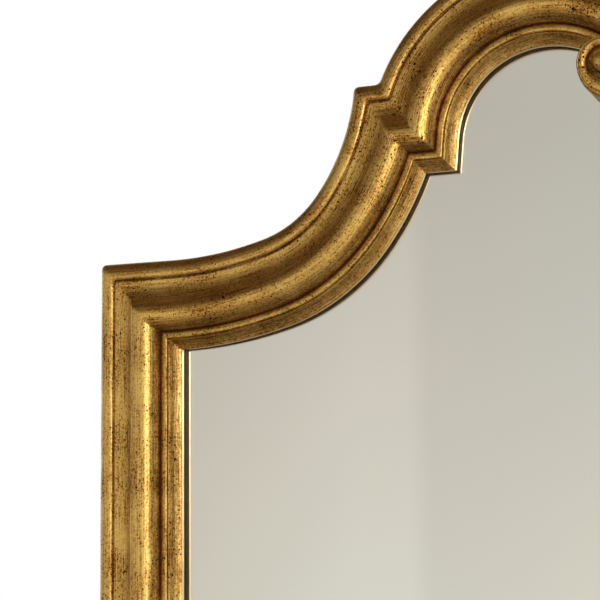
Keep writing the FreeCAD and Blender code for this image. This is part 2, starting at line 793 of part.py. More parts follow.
os.makedirs("parts", exist_ok=True)
for name, shape in sorted(pieces.items()):
    if not shape.isValid() or min(solid.Volume for solid in shape.Solids) <= 0:
        print("not sound:", name)
    shape.exportStep("parts/" + name + ".step")
print("width", round(2 * half_width, 1), "height", round(overall_height, 1), "pieces", len(pieces))
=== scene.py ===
import bpy
import bmesh
import math
import numpy as np
from mathutils import Matrix, Vector


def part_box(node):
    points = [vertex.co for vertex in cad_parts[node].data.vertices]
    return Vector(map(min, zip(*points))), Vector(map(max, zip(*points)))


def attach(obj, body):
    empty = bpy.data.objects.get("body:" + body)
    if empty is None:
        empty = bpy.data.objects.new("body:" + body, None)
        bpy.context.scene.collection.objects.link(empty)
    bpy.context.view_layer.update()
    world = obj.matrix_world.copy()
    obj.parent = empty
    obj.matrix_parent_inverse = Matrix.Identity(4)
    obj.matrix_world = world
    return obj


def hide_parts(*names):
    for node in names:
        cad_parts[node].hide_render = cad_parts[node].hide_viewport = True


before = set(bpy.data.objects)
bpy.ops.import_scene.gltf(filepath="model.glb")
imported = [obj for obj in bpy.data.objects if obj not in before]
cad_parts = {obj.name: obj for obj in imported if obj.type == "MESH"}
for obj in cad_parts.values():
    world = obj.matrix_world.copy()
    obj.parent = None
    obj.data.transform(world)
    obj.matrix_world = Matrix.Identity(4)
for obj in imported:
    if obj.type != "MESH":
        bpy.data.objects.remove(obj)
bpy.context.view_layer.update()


# Frame mouldings: nine lengths of one softwood moulding, mitred, glued and dowelled round the glass.
# The wood is coated with gesso and red bole, scraped back to a soft-edged section by hand,
# then laid with gold leaf that is rubbed, glazed with umber and spattered.
moulding_width = 0.076
moulding_rise = 0.025
lip_thickness = 0.0022
rebate_width = 0.010
stile_low, stile_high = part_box("left_stile")
half_width = -stile_low[0]
bottom_z = stile_low[2]
corner_z = stile_high[2]
frame_rear = -stile_high[1]
crown_front = -stile_low[1]
edge_front = crown_front - moulding_rise
lip_rear = edge_front - lip_thickness
rebate_wall = moulding_width - rebate_width
# Steps across the face, as shares of the width and of the rise: a line's end, or an arc's middle and end
section_shares = (
    ((0.055, 0.290), (0.135, 0.400)),
    ((0.170, 0.400), (0.195, 0.365)),
    ((0.205, 0.310),),
    ((0.222, 0.350),),
    ((0.340, 0.385), (0.463, 0.600)),
    ((0.524, 0.896), (0.626, 1.000)),
    ((0.740, 0.868), (0.795, 0.528)),
    ((0.805, 0.420),),
    ((0.818, 0.465),),
    ((0.850, 0.490), (0.880, 0.490)),
    ((0.888, 0.410),),
    ((0.897, 0.448),),
    ((0.931, 0.238), (0.992, 0.092)),
    ((1.000, 0.060),),
)
section_spacing = 0.0005
gesso_passes = 2
# Where glaze settles (above 0) or is rubbed off (below 0): a line's offset and its reach to each side,
# as shares of the width, and how much. The lines at the cove's foot, on the torus's inner flank and
# over the cavetto are painted shade as well as glaze.
glaze_and_shade_line_shares = (
    (0.000, 0.012, -0.6),
    (0.206, 0.018, 1.00),
    # painted shade at the foot of the cove, where it meets the torus
    (0.455, 0.040, 0.35),
    # painted shade on the torus's inner flank, down to the deep groove
    (0.768, 0.042, 0.75),
    (0.804, 0.010, 1.0),
    (0.888, 0.006, 0.8),
    (0.898, 0.004, -0.5),
    # painted shade over the cavetto, this line and the next
    (0.925, 0.034, 0.60),
    (0.972, 0.022, 0.45),
)


def arc_through(start, middle, end, shares):
    """Points on the circle through three points, as complex numbers: the centre is equally far
    from all three, and the radius turns from the first to the last in even steps."""
    skew = (end - start) / (middle - start)
    centre = start + (middle - start) * (abs(skew) ** 2 - skew) / (-2j * skew.imag)
    turn = np.angle((end - centre) / (start - centre))
    return centre + (start - centre) * np.exp(1j * turn * shares)


def trace(start, steps, spacing):
    """Points about a spacing apart along lines and arcs, joined end to end."""
    path = [np.array([start])]
    for step in steps:
        here = path[-1][-1]
        count = max(2, math.ceil(abs(step[-1] - here) / spacing))
        shares = np.arange(1, count + 1) / count
        path.append(arc_through(here, *step, shares) if len(step) > 1 else here + (step[0] - here) * shares)
    return np.concatenate(path)


def softened(points, passes):
    """In each pass a point goes half way to the middle of its neighbours, and the ends stay:
    cut edges round over and grooves fill, as they do under gesso."""
    for _ in range(passes):
        between = points[1:-1] / 2 + (points[:-2] + points[2:]) / 4
        points = np.concatenate((points[:1], between, points[-1:]))
    return points


def moulding_section():
    """The closed section as offset + front * 1j, with its girth from the rear outer corner and its
    glaze, which along some lines is painted shade, the sum of a bell about each line: outer wall,
    face and sight wall softened, then the rebate."""
    face_steps = [[w * moulding_width + 1j * (edge_front + h * moulding_rise) for w, h in step]
                  for step in section_shares]
    sight = face_steps[-1][-1].real
    steps = [[1j * edge_front], *face_steps, [sight + 1j * lip_rear]]
    face = softened(trace(1j * frame_rear, steps, section_spacing), gesso_passes)
    rebate = np.array((rebate_wall + 1j * lip_rear, rebate_wall + 1j * frame_rear))
    section = np.concatenate((face, rebate))
    girth = np.concatenate(((0,), np.cumsum(abs(np.diff(section)))))
    line, reach, amount = np.array(glaze_and_shade_line_shares).T[:, :, None]
    glaze = (amount * np.exp(-((section.real / moulding_width - line) / reach) ** 2)).sum(axis=0)
    return section, girth, glaze


shoulder_run = 0.0658
shoulder_radii = np.array((0.3026, 0.0912, 0.1674))
shoulder_turns = np.radians((16.2, 36.3, 32.4))
arch_sight_radius = 0.0722
arch_centre_drop = 0.0562
arch_axis_distance = 0.1183
arch_leg_heading = np.radians(90 - 5.5)
arch_end_angle = np.radians(44.0)
arch_radius = arch_sight_radius + moulding_width
mitre_ease, least_ease_share = 0.004, 0.15
shoulder_headings = np.concatenate(((0, 0), np.cumsum(shoulder_turns)))
bend_runs = np.cumsum(shoulder_radii * shoulder_turns)
shoulder_knots = np.concatenate(((0, shoulder_run), shoulder_run + bend_runs))
# Each arc's centre stands a radius to the left of its first heading
bend_steps_x = shoulder_radii * np.diff(np.sin(shoulder_headings[1:]))
bend_steps_z = -shoulder_radii * np.diff(np.cos(shoulder_headings[1:]))
bend_starts_x = -half_width + shoulder_run + np.concatenate(((0,), np.cumsum(bend_steps_x)))
bend_starts_z = corner_z + np.concatenate(((0,), np.cumsum(bend_steps_z)))
bend_centres_x = bend_starts_x[:3] - shoulder_radii * np.sin(shoulder_headings[1:4])
bend_centres_z = bend_starts_z[:3] + shoulder_radii * np.cos(shoulder_headings[1:4])
ear_level = bend_starts_z[3]
arch_centre_z = ear_level - arch_centre_drop


def eased(place, distance, offset, inward, outward):
    """Gesso rounds a mitre over: near it a point moves towards the inside of the bend, by the
    square of its nearness, so that both pieces leave the mitre along the mean of their headings.
    Inward is the piece's own heading into the mitre and outward its neighbour's out of it."""
    reach = mitre_ease * (1 + least_ease_share - offset / moulding_width)
    return place + (outward - inward) * reach / 4 * np.maximum(1 - distance / reach, 0) ** 2


def stile_path(share, offset):
    """Straight up, with both ends cut back by the offset: a 45 degree mitre."""
    low, high = bottom_z + offset, corner_z - offset
    z = low + (high - low) * share
    place = eased(-half_width + offset + 1j * z, high - z, offset, 1j, 1)
    place = eased(place, z - low, offset, -1j, 1)
    return place.real, place.imag, z - bottom_z


def rail_path(share, offset):
    """Straight to the left along the bottom, with both ends cut back by the offset."""
    reach = half_width - offset
    x = reach - 2 * reach * share
    place = eased(x + 1j * (bottom_z + offset), reach - x, offset, 1, 1j)
    place = eased(place, reach + x, offset, -1, 1j)
    return place.real, place.imag, half_width - x


def shoulder_path(share, offset):
    """Level, then three arcs to the left. A point is an offset outside its arc's radius; the run
    starts on the 45 degree mitre and stops where it meets the ear's line at the same offset."""
    mitre_reach = math.sqrt(2) * (shoulder_radii[0] + offset)
    mitre_turn = np.arccos((shoulder_radii[0] + shoulder_run) / mitre_reach)
    first = np.minimum(offset, shoulder_run) + shoulder_radii[0] * np.maximum(0, mitre_turn - np.pi / 4)
    last_heading = shoulder_end(offset)[0]
    last = shoulder_knots[3] + shoulder_radii[2] * (last_heading - shoulder_headings[3])
    run = first + (last - first) * share
    heading = np.interp(run, shoulder_knots, shoulder_headings)
    bend = np.searchsorted(shoulder_knots[2:4], run)
    reach = shoulder_radii[bend] + offset
    level = run < shoulder_run
    x = np.where(level, run - half_width, bend_centres_x[bend] + np.sin(heading) * reach)
    z = np.where(level, corner_z - offset, bend_centres_z[bend] - np.cos(heading) * reach)
    place = eased(x + 1j * z, run - first, offset, -1, -1j)
    distance = (last - run) * (1 + offset / shoulder_radii[2])
    place = eased(place, distance, offset, np.exp(1j * last_heading), 1)
    return place.real, place.imag, run


def shoulder_end(offset):
    """Heading at which the shoulder's last arc meets the ear's line, both at one offset, and where."""
    heading = np.arccos((bend_centres_z[2] - ear_level + offset) / (shoulder_radii[2] + offset))
    return heading, bend_centres_x[2] + np.sin(heading) * (shoulder_radii[2] + offset)


def arch_first(offset):
    """Run at which the arch leaves the ear's line: negative on the straight leg, else on the arc."""
    reach = arch_radius - offset
    over_level = arch_centre_z + np.cos(arch_leg_heading) * reach - ear_level + offset
    angle = np.arccos(np.clip((arch_centre_drop - offset) / reach, -1, 1))
    on_leg = -over_level / np.sin(arch_leg_heading)
    on_arc = (arch_leg_heading - angle) * arch_radius
    return np.where(over_level > 0, on_leg, on_arc)


def arch_at(run, offset):
    """A leaning leg up to the tangent, then a clockwise arc, an offset inside the outer radius."""
    angle = np.maximum(run, 0) / arch_radius - arch_leg_heading
    leg = np.minimum(run, 0)
    x = -arch_axis_distance + np.sin(angle) * (arch_radius - offset) + leg * np.cos(arch_leg_heading)
    z = arch_centre_z + np.cos(angle) * (arch_radius - offset) + leg * np.sin(arch_leg_heading)
    return x, z


def arch_heading(offset):
    """Heading of the arch where it leaves the ear's line, as a complex number."""
    return np.exp(1j * (arch_leg_heading - np.maximum(arch_first(offset), 0) / arch_radius))


def ear_path(share, offset):
    """Level between the shoulder's and the arch's mitres, which curve."""
    heading, start = shoulder_end(offset)
    end = arch_at(arch_first(offset), offset)[0]
    x = start + (end - start) * share
    place = eased(x + 1j * (ear_level - offset), x - start, offset, -1, -np.exp(1j * heading))
    place = eased(place, end - x, offset, 1, arch_heading(offset))
    return place.real, place.imag, x + half_width


def arch_path(share, offset):
    """From the ear's mitre up the leg and over the arc to the square cut at the crest."""
    first = arch_first(offset)
    run = first + ((arch_leg_heading + arch_end_angle) * arch_radius - first) * share
    x, z = arch_at(run, offset)
    place = eased(x + 1j * z, run - first, offset, -arch_heading(offset), -1)
    return place.real, place.imag, run


def hand_wander(along, across, phase):
    """Three sines along and across that take at most a fifth of a millimetre off the surface,
    as scraping does."""
    wave_depth = 0.00003
    long_wave = np.sin(along / 0.043 + phase)
    middle_wave = np.sin(along / 0.0171 + across / 0.009 + 2 * phase)
    short_wave = np.sin(along / 0.0093 - across / 0.014 + 3 * phase)
    return wave_depth * (3 + long_wave + middle_wave + short_wave)


def put_grids(name, grids, flip=False):
    """One mesh of several grids of points, with quads between neighbours. A grid is its rows of
    points, their lay or None, and whether each row closes on itself and one face caps each end.
    Points that fall together, as at the pole of a dome, are welded."""
    points, lays, faces, count = [], [], [], 0
    weld_distance, crease_angle = 1e-6, math.radians(50)
    for rows, lay, loop, caps in grids:
        index = count + np.arange(rows.shape[0] * rows.shape[1]).reshape(rows.shape[:2])
        right = np.roll(index, -1, axis=1) if loop else index[:, 1:]
        left = index if loop else index[:, :-1]
        quads = np.stack((left[:-1], right[:-1], right[1:], left[1:]), axis=-1).reshape(-1, 4)
        faces += quads.tolist() + ([index[0, ::-1].tolist(), index[-1].tolist()] if caps else [])
        points.append(rows.reshape(-1, 3))
        lays.append(np.zeros_like(points[-1]) if lay is None else lay.reshape(-1, 3))
        count += index.size
    if flip:
        faces = [face[::-1] for face in faces]
    mesh = bpy.data.meshes.new(name)
    mesh.from_pydata(np.concatenate(points).tolist(), [], faces)
    lay_values = mesh.attributes.new("lay", "FLOAT_VECTOR", "POINT").data
    lay_values.foreach_set("vector", np.concatenate(lays).ravel())
    welded = bmesh.new()
    welded.from_mesh(mesh)
    bmesh.ops.remove_doubles(welded, verts=welded.verts, dist=weld_distance)
    welded.to_mesh(mesh)
    welded.free()
    mesh.polygons.foreach_set("use_smooth", np.ones(len(mesh.polygons), bool))
    mesh.set_sharp_from_angle(angle=crease_angle)
    piece = bpy.data.objects.new(name, mesh)
    bpy.context.scene.collection.objects.link(piece)
    return piece


def carry_moulding(name, path, length, phase, side):
    """Carries the section along a path: each point of the section has its own run between the
    mitres, and a side of -1 mirrors the piece to the right of the frame."""
    section, girth, glaze = moulding_section()
    step_length = 0.004
    steps = math.ceil(length / step_length)
    # The first and the last step are divided further, so that the eased mitres come out round
    ends = np.array((0, 0.15, 0.32, 0.5, 0.7)) / steps
    share = np.concatenate((ends, np.arange(1, steps) / steps, 1 - ends[::-1]))[:, None]
    offset = np.broadcast_to(section.real, (len(share), len(section)))
    x, z, run = np.broadcast_arrays(*path(share, offset))
    carved = (girth > edge_front - frame_rear) & (section.imag > edge_front)
    front = section.imag - np.where(carved, hand_wander(run, girth, phase), 0)
    lay = np.stack(np.broadcast_arrays(run + phase, girth, glaze), axis=-1)
    points = np.stack((side * x, -front, z), axis=-1)
    return put_grids(name, [(points, lay, True, True)], flip=side < 0)


def colour(code):
    """Linear colour of an sRGB hex code."""
    srgb = np.array([int(code[place:place + 2], 16) for place in (1, 3, 5)]) / 255
    linear = np.where(srgb > 0.04045, ((srgb + 0.055) / 1.055) ** 2.4, srgb / 12.92)
    return (*linear.tolist(), 1.0)


def add(tree, kind, inputs=None, **settings):
    """Adds a node with its settings; each input is a value or another node's output."""
    made = tree.nodes.new(kind)
    for setting, value in settings.items():
        setattr(made, setting, value)
    for socket, value in (inputs or {}).items():
        if isinstance(value, bpy.types.NodeSocket):
            tree.links.new(value, made.inputs[socket])
        else:
            made.inputs[socket].default_value = value
    return made


def new_material(name):
    """A new material, with its node tree and its shader."""
    made = bpy.data.materials.new(name)
    made.use_nodes = True
    return made, made.node_tree, made.node_tree.nodes["Principled BSDF"]


def gilded_wood():
    """Gold leaf over red bole: broken metallic leaf, brush streaks along the length, bole rubbed
    through on the arrises, umber and red glaze left in the grooves and laid as painted shade along
    the moulding's cove foot, torus flank and cavetto, dark spatter, and behind an ochre wash."""
    material, tree, shader = new_material("gold_leaf_glazed_with_umber")
    # Streaks and breaks are drawn at about twice their real width, which is too fine to show
    streak_length, streak_width = 0.036, 0.0009
    cloud_size, break_size = 0.035, 0.0018
    spot = add(tree, "ShaderNodeTexCoord").outputs
    lay = add(tree, "ShaderNodeAttribute", attribute_name="lay").outputs["Vector"]
    laid = add(tree, "ShaderNodeSeparateXYZ", {0: lay}).outputs
    stretch = (1 / streak_length, 1 / streak_width, 0)
    streak_spot = add(tree, "ShaderNodeVectorMath", {0: lay, 1: stretch}, operation="MULTIPLY").outputs[0]
    streak = add(tree, "ShaderNodeTexNoise",
                 {"Vector": streak_spot, "Scale": 1, "Detail": 3}).outputs["Fac"]
    cloud = add(tree, "ShaderNodeTexNoise",
                {"Vector": spot["Object"], "Scale": 1 / cloud_size, "Detail": 4}).outputs["Fac"]
    broken = add(tree, "ShaderNodeTexNoise", {"Vector": spot["Object"], "Scale": 1 / break_size,
                                              "Detail": 4, "Roughness": 0.65}).outputs["Fac"]
    grain = add(tree, "ShaderNodeMix", {0: 0.48, 2: broken, 3: streak}).outputs[0]
    tone = add(tree, "ShaderNodeMix", {0: 0.25, 2: grain, 3: cloud}).outputs[0]
    bright = add(tree, "ShaderNodeMapRange", {0: tone, 1: 0.41, 2: 0.57}).outputs[0]
    leaf = add(tree, "ShaderNodeMix", {0: bright, 6: colour("#B5701E"), 7: colour("#FBD87C")},
               data_type="RGBA").outputs[2]
    arris = add(tree, "ShaderNodeMapRange", {0: laid["Z"], 1: -0.05, 2: -0.50}).outputs[0]
    worn = add(tree, "ShaderNodeMath", {0: arris, 1: grain}, operation="MULTIPLY").outputs[0]
    rubbed = add(tree, "ShaderNodeMapRange", {0: worn, 1: 0.36, 2: 0.60, 4: 0.75}).outputs[0]
    boled = add(tree, "ShaderNodeMix", {0: rubbed, 6: leaf, 7: colour("#6A361C")},
                data_type="RGBA").outputs[2]
    patchy = add(tree, "ShaderNodeMapRange", {0: tone, 1: 0.42, 2: 0.58, 3: 1.15, 4: 0.60}).outputs[0]
    # Where the lay's glaze is high the leaf turns umber: glaze in the hollows, and painted shade along the
    # moulding's cove foot, torus flank and cavetto
    settled_and_shaded = add(tree, "ShaderNodeMath", {0: laid["Z"], 1: patchy}, operation="MULTIPLY").outputs[0]
    groove_and_shade = add(tree, "ShaderNodeMapRange", {0: settled_and_shaded, 1: 0.02, 2: 1.0}).outputs[0]
    film = add(tree, "ShaderNodeMapRange", {0: tone, 1: 0.47, 2: 0.37, 4: 0.85}).outputs[0]
    glaze = add(tree, "ShaderNodeMath", {0: groove_and_shade, 1: film}, operation="MAXIMUM").outputs[0]
    ruddy = add(tree, "ShaderNodeMapRange", {0: cloud, 1: 0.43, 2: 0.57}).outputs[0]
    umber = add(tree, "ShaderNodeMix", {0: ruddy, 6: colour("#563712"), 7: colour("#5E240F")},
                data_type="RGBA").outputs[2]
    glazed = add(tree, "ShaderNodeMix", {0: glaze, 6: boled, 7: umber}, data_type="RGBA").outputs[2]
    # Three sizes of spatter, each with the least and the largest radius of its dots as shares of its cell
    spatters = ((0.0018, -0.60, 0.40), (0.0028, -0.38, 0.28), (0.0060, -0.16, 0.15))
    speck = 0.0
    shower = add(tree, "ShaderNodeMapRange", {0: cloud, 1: 0.3, 2: 0.7, 3: 0.10, 4: -0.12}).outputs[0]
    for cell, least, most in spatters:
        spatter = add(tree, "ShaderNodeTexVoronoi", {"Vector": spot["Object"], "Scale": 1 / cell}).outputs
        chance = add(tree, "ShaderNodeSeparateColor", {0: spatter["Color"]}).outputs[0]
        largest = add(tree, "ShaderNodeMapRange", {0: chance, 3: least, 4: most}).outputs[0]
        radius = add(tree, "ShaderNodeMath", {0: largest, 1: shower}, operation="ADD").outputs[0]
        inside = add(tree, "ShaderNodeMath", {0: radius, 1: spatter["Distance"]},
                     operation="SUBTRACT").outputs[0]
        dots = add(tree, "ShaderNodeMapRange", {0: inside, 1: -0.03, 2: 0.03}).outputs[0]
        speck = add(tree, "ShaderNodeMath", {0: speck, 1: dots}, operation="MAXIMUM").outputs[0]
    specked = add(tree, "ShaderNodeMix", {0: speck, 6: glazed, 7: colour("#241609")},
                  data_type="RGBA").outputs[2]
    sight_end = sight_girth + 0.0006
    sight = add(tree, "ShaderNodeMapRange", {0: laid["Y"], 1: sight_girth, 2: sight_end}).outputs[0]
    edged = add(tree, "ShaderNodeMix", {0: sight, 6: specked, 7: colour("#E6CFA0")},
                data_type="RGBA").outputs[2]
    rearwards = add(tree, "ShaderNodeSeparateXYZ", {0: spot["Normal"]}).outputs["Y"]
    behind = add(tree, "ShaderNodeMapRange", {0: rearwards, 1: 0.60, 2: 0.75}).outputs[0]
    wash = add(tree, "ShaderNodeMix", {0: bright, 6: colour("#745630"), 7: colour("#94723F")},
               data_type="RGBA").outputs[2]
    finish = add(tree, "ShaderNodeMix", {0: behind, 6: edged, 7: wash}, data_type="RGBA").outputs[2]
    tree.links.new(finish, shader.inputs["Base Color"])
    bare = add(tree, "ShaderNodeMath", {0: rubbed, 1: behind}, operation="MAXIMUM").outputs[0]
    dull = add(tree, "ShaderNodeMath", {0: bare, 1: glaze}, operation="MAXIMUM").outputs[0]
    leafed = add(tree, "ShaderNodeMapRange", {0: glaze, 3: 0.95, 4: 0.75}).outputs[0]
    metal = add(tree, "ShaderNodeMix", {0: bare, 2: leafed, 3: 0.0}).outputs[0]
    tree.links.new(metal, shader.inputs["Metallic"])
    rough = add(tree, "ShaderNodeMapRange", {0: dull, 3: 0.36, 4: 0.55}).outputs[0]
    tree.links.new(rough, shader.inputs["Roughness"])
    relief = add(tree, "ShaderNodeMath", {0: grain, 1: speck}, operation="SUBTRACT").outputs[0]
    bump = add(tree, "ShaderNodeBump", {"Height": relief, "Strength": 0.4, "Distance": 0.0004}).outputs[0]
    tree.links.new(bump, shader.inputs["Normal"])
    return material


section, girth = moulding_section()[:2]
sight_girth = girth[np.argmax(section.real > section.real.max() - section_spacing / 2)]
gilding = gilded_wood()
stile_length = corner_z - bottom_z
arch_length = (arch_leg_heading + arch_end_angle) * arch_radius
moulding_runs = (
    ("left_stile", stile_path, stile_length, 1),
    ("left_shoulder", shoulder_path, shoulder_knots[-1], 1),
    ("left_ear", ear_path, moulding_width, 1),
    ("left_arch", arch_path, arch_length, 1),
    ("right_stile", stile_path, stile_length, -1),
    ("right_shoulder", shoulder_path, shoulder_knots[-1], -1),
    ("right_ear", ear_path, moulding_width, -1),
    ("right_arch", arch_path, arch_length, -1),
    ("bottom_rail", rail_path, 2 * half_width, 1),
)
for phase, (node, path, length, side) in enumerate(moulding_runs):
    moulding = carry_moulding(node + "_gilt", path, length, phase, side)
    moulding.data.materials.append(gilding)
    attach(moulding, "frame")
    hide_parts(node)


# Mitre dowels: plain beech pins, cut from rod and glued into bores on both sides of each mitre.
# They lie inside the wood, so they show only when the frame is taken apart.
def dress(node, material):
    """Gives a solid's own mesh a material."""
    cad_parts[node].data.materials.clear()
    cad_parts[node].data.materials.append(material)


def clouded(tree, size, first, last, detail=3):
    """Two colours, mixed by a soft noise of a size in metres in the object's own space."""
    place = add(tree, "ShaderNodeTexCoord").outputs["Object"]
    noise = add(tree, "ShaderNodeTexNoise",
                {"Vector": place, "Scale": 1 / size, "Detail": detail}).outputs["Fac"]
    share = add(tree, "ShaderNodeMapRange", {0: noise, 1: 0.35, 2: 0.65}).outputs[0]
    tint = add(tree, "ShaderNodeMix", {0: share, 6: colour(first), 7: colour(last)},
               data_type="RGBA").outputs[2]
    return tint, noise


def dry_finish(name, size, first, last, roughness, relief):
    """A matt stuff of two close tones, grained at one size, with its grain standing up by the relief."""
    material, tree, shader = new_material(name)
    tint, grain = clouded(tree, size, first, last)
    bump = add(tree, "ShaderNodeBump", {"Height": grain, "Strength": 0.6, "Distance": relief}).outputs[0]
    tree.links.new(tint, shader.inputs["Base Color"])
    tree.links.new(bump, shader.inputs["Normal"])
    shader.inputs["Roughness"].default_value = roughness
    return material


# Pale pinkish-brown wood with fine darker flecks
beech = dry_finish("plain_beech", 0.0012, "#CFA678", "#AE8053", 0.65, 0.0001)
dress("mitre_dowels", beech)


# Corner plates: flat angles punched from 2 mm steel and zinc plated, laid across the four square mitres.
# Each is held on the rear of the frame by four countersunk cross-head screws, turned and rolled from wire.
def plated(name, size, first, last, gloss, dullness):
    """Plating on steel: metal of two close tones in soft clouds, duller where the second shows."""
    material, tree, shader = new_material(name)
    tint, cloud = clouded(tree, size, first, last)
    rough = add(tree, "ShaderNodeMapRange", {0: cloud, 1: 0.35, 2: 0.65, 3: gloss, 4: dullness}).outputs[0]
    tree.links.new(tint, shader.inputs["Base Color"])
    tree.links.new(rough, shader.inputs["Roughness"])
    shader.inputs["Metallic"].default_value = 1.0
    return material


def cross_screws(node, head_radius, neck_radius, head_height, shank_radius, material):
    """A screw at each tip of the solid: rings round its axis, from the middle of the head out to the
    rim, then the neck, the shank and the tip. The head is sunk along a cross, less and less away from
    the nearer arm and towards the arms' ends."""
    segments, head_rings, turn_per_screw = 72, 15, 2.4
    recess_depth, arm_reach = 0.55 * head_height, 0.20 * head_radius
    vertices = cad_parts[node].data.vertices
    points = np.empty(3 * len(vertices))
    vertices.foreach_get("co", points)
    low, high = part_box(node)
    points = points.reshape(-1, 3)
    tips = np.unique(points[points[:, 1] < low[1] + 1e-5][:, ::2].round(5), axis=0)
    head_front, tip_front = -high[1], -low[1]
    angle = np.linspace(0, 2 * np.pi, segments + 1)[:-1]
    head = head_radius * np.linspace(0, 1, head_rings)[:, None]
    arm = np.minimum(abs(head * np.cos(angle)), abs(head * np.sin(angle)))
    slot = np.clip(1.6 - 1.6 * arm / arm_reach, 0, 1)
    run_out = np.clip(3.4 - 5 * head / head_radius, 0, 1)
    sunk = head_front + recess_depth * slot * run_out
    neck_front = head_front + head_height
    shank_radii = np.array((neck_radius, shank_radius, shank_radius, 0))[:, None]
    shank_fronts = np.array((neck_front, neck_front, tip_front - 2 * shank_radius, tip_front))[:, None]
    radius = np.repeat(np.concatenate((head, shank_radii)), segments, axis=1)
    front = np.concatenate((sunk, np.repeat(shank_fronts, segments, axis=1)))
    grids = []
    for place, (x, z) in enumerate(tips):
        spun = angle + turn_per_screw * place
        rings = np.stack((x + radius * np.cos(spun), -front, z + radius * np.sin(spun)), axis=-1)
        grids.append((rings, None, True, False))
    screws = put_grids(node + "_cross_head", grids)
    screws.data.materials.append(material)
    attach(screws, "frame")
    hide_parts(node)
    return screws


# Cool grey metal, clouded like most bright zinc
zinc = plated("zinc_plated_steel", 0.004, "#C4C8CC", "#9EA3A8", 0.30, 0.46)
dress("corner_plates", zinc)
plate_screws = cross_screws("corner_plate_screws", 0.0034, 0.0016, 0.0018, 0.0016, zinc)


# Mirror glass: one sheet of 5 mm float glass, cut to the arched outline and silvered on its rear face.
# It stands in the rebate on two setting blocks, so the dark rebate shows reflected along the sight edge.
glass_low, glass_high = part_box("mirror_glass")
glass_front = -glass_low[1]
silver_lift = 0.0001
glass_rear = silver_lift - glass_high[1]
glass_offset = glass_low[0] + half_width


def top_edge(offset):
    """The top edge from left to right: the frame's paths at one offset, and their mirror image."""
    share = np.linspace(0, 1, 60)
    paths = (shoulder_path, ear_path, arch_path)
    offsets = np.full(len(share), offset)
    pieces = [np.stack(np.broadcast_arrays(*path(share, offsets)[:2])) for path in paths]
    x, z = np.concatenate([pieces[0], pieces[1][:, 1:], pieces[2][:, 1:]], axis=1)
    return np.concatenate((x, -x[::-1])), np.concatenate((z, z[::-1]))


def cut_to_outline(name, offset, low, front, rear):
    """Columns from the bottom edge up to the top edge, on the front and then the rear face."""
    x, top = top_edge(offset)
    low = np.full(len(x), low)
    front = np.full(len(x), -front)
    rear = np.full(len(x), -rear)
    rows = ((x, front, top), (x, front, low), (x, rear, low), (x, rear, top))
    points = np.stack([np.stack(row, axis=-1) for row in rows], axis=1)
    return put_grids(name, [(points, None, True, True)])


def float_glass():
    """Clear float glass: sharp gloss, nearly colourless, with the faint long waves of the float bath."""
    material, tree, shader = new_material("clear_float_glass")
    tint, wave = clouded(tree, 0.300, "#F8FCFA", "#FCFCFA", detail=0)
    bump = add(tree, "ShaderNodeBump", {"Height": wave, "Strength": 0.1, "Distance": 0.0005}).outputs[0]
    tree.links.new(tint, shader.inputs["Base Color"])
    tree.links.new(bump, shader.inputs["Normal"])
    shader.inputs["Roughness"].default_value = 0.0
    shader.inputs["IOR"].default_value = 1.52
    shader.inputs["Transmission Weight"].default_value = 1.0
    return material


def silvering():
    """Chemically laid silver, sealed by copper and paint: a bright mirror, clouded a very little."""
    material, tree, shader = new_material("silver_on_glass")
    tint = clouded(tree, 0.180, "#F7F7F4", "#F5F5F3")[0]
    tree.links.new(tint, shader.inputs["Base Color"])
    shader.inputs["Metallic"].default_value = 1.0
    shader.inputs["Roughness"].default_value = 0.0
    return material


pane = cut_to_outline("mirror_pane", glass_offset, glass_low[2], glass_front, glass_rear)
pane.data.materials.append(float_glass())
pane.data.materials.append(silvering())
# Each column has four faces, front, bottom, rear and top, and the two end caps come last
silvered = np.zeros(len(pane.data.polygons), np.int32)
silvered[2:len(silvered) - 2:4] = 1
pane.data.polygons.foreach_set("material_index", silvered)
pane.data.polygons.foreach_set("use_smooth", np.zeros(len(silvered), bool))
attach(pane, "frame")
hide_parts("mirror_glass")


# Setting blocks and edge spacers: strips of black rubber, cut to length, between the glass and the rebate.
# The glass stands on two blocks, and two spacers at each side keep it off the wood.
# Matt black with a faint mealy grain, drawn coarser than the real one, which is too fine to show
rubber = dry_finish("matt_black_rubber", 0.0008, "#161616", "#242322", 0.75, 0.00005)
dress("glass_setting_blocks", rubber)
dress("glass_edge_spacers", rubber)


# Cushion sheet: 3 mm grey felt, pressed from wool waste and cut to the outline of the glass.
# It lies flat between the glass and the back board, and presses the glass against the lip.
felt_low, felt_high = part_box("cushion_sheet")
felt_offset = felt_low[0] + half_width
felt_x, felt_top = top_edge(felt_offset)
felt = cut_to_outline("felt_sheet", felt_offset, felt_low[2], -felt_low[1], -felt_high[1])
# Mixed grey fibres with a soft nap, drawn coarser than real ones, which are too fine to show
felt.data.materials.append(dry_finish("grey_felt", 0.0015, "#6C6B68", "#4C4B49", 1.0, 0.0004))
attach(felt, "frame")
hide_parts("cushion_sheet")


